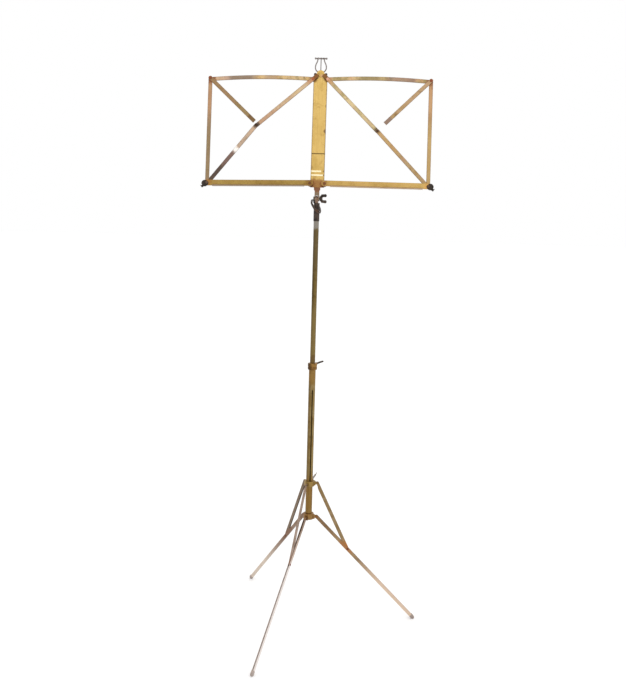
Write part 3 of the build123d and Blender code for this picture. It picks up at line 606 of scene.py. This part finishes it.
def swept(name, points, radius, sides=8):
    """Round wire along a row of points, closed at both ends."""
    work = bmesh.new()
    rings = []
    up = Vector((0, 0, 1))
    for number, spot in enumerate(points):
        ahead = points[min(number + 1, len(points) - 1)] - points[max(number - 1, 0)]
        ahead.normalize()
        out = ahead.cross(up).normalized()
        up = out.cross(ahead).normalized()
        ring = []
        for corner in range(sides):
            angle = 2 * pi * corner / sides
            ring.append(work.verts.new(spot + (out * cos(angle) + up * sin(angle)) * radius))
        rings.append(ring)
    for first, second in zip(rings, rings[1:]):
        for corner in range(sides):
            after = (corner + 1) % sides
            work.faces.new((first[corner], first[after], second[after], second[corner]))
    work.faces.new(list(reversed(rings[0])))
    work.faces.new(rings[-1])
    bmesh.ops.recalc_face_normals(work, faces=work.faces)
    mesh = bpy.data.meshes.new(name)
    work.to_mesh(mesh)
    work.free()
    for face in mesh.polygons:
        face.use_smooth = True
    made = bpy.data.objects.new(name, mesh)
    bpy.context.scene.collection.objects.link(made)
    return made


def make_wire():
    wire = swept("wire_loops", wire_path(), WIRE_RADIUS)
    steel = aged_metal("wire", (SOOT, SOOT_LIGHT, UMBER), BLACK, metallic=0.6)
    wire.data.materials.append(steel)
    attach(wire, nodes["wire_tie"]["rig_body"])
    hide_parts("wire_tie")
    coat(steel, "wire_tie")


# ---- stage, light and camera ----

def floor():
    mesh = bpy.data.meshes.new("floor")
    work = bmesh.new()
    bmesh.ops.create_circle(work, cap_ends=True, segments=64, radius=60)
    work.to_mesh(mesh)
    work.free()
    made = bpy.data.objects.new("floor", mesh)
    bpy.context.scene.collection.objects.link(made)
    paint = Paint("floor", 0.0, 0.9)
    paint.shader.inputs["Specular IOR Level"].default_value = 0.1
    colour = paint.mix(paint.noise(3, 3), rgb(244, 244, 244), rgb(246, 246, 246))
    paint.tree.links.new(colour, paint.shader.inputs["Base Color"])
    mesh.materials.append(paint.material)


def soft_sun(name, direction, strength, width):
    """Wide soft sun that shines along a direction."""
    lamp = bpy.data.lights.new(name, "SUN")
    lamp.energy = strength
    lamp.angle = radians(width)
    made = bpy.data.objects.new(name, lamp)
    made.rotation_euler = Vector(direction).to_track_quat("-Z", "Y").to_euler()
    bpy.context.scene.collection.objects.link(made)


def sky():
    """Even white light all round."""
    world = bpy.data.worlds.new("studio")
    world.use_nodes = True
    world.node_tree.nodes["Background"].inputs["Color"].default_value = (1, 1, 1, 1)
    bpy.context.scene.world = world


def camera():
    """The camera stands about 1.56 m from the pole, a little to the right of it, and looks down."""
    side, distance, height = radians(1.642), 1.5576, 0.8507
    yaw, pitch, roll = radians(-0.008), radians(9.023), radians(1.523)
    data = bpy.data.cameras.new("camera")
    data.lens = FOCAL * SENSOR / IMAGE_HEIGHT
    data.sensor_width = SENSOR
    made = bpy.data.objects.new("camera", data)
    turn = side + yaw
    ahead = Vector((-sin(turn) * cos(pitch), cos(turn) * cos(pitch), -sin(pitch)))
    right = ahead.cross(Vector((0, 0, 1))).normalized()
    up = right.cross(ahead)
    right, up = right * cos(roll) + up * sin(roll), up * cos(roll) - right * sin(roll)
    axes = Matrix((right, up, -ahead)).transposed().to_4x4()
    stand = Vector((distance * sin(side), -distance * cos(side), height))
    made.matrix_world = Matrix.Translation(stand) @ axes
    bpy.context.scene.collection.objects.link(made)
    bpy.context.scene.camera = made


finish_top_bars()
finish_side_bars()
finish_braces()
finish_arms()
finish_ledges()
finish_plates()
finish_fittings()
finish_pole()
finish_legs()
make_wire()
floor()
sky()
soft_sun("top", (-0.25, 0.25, -1), 0.75, 100)
camera()
bpy.context.scene.view_settings.view_transform = "Standard"
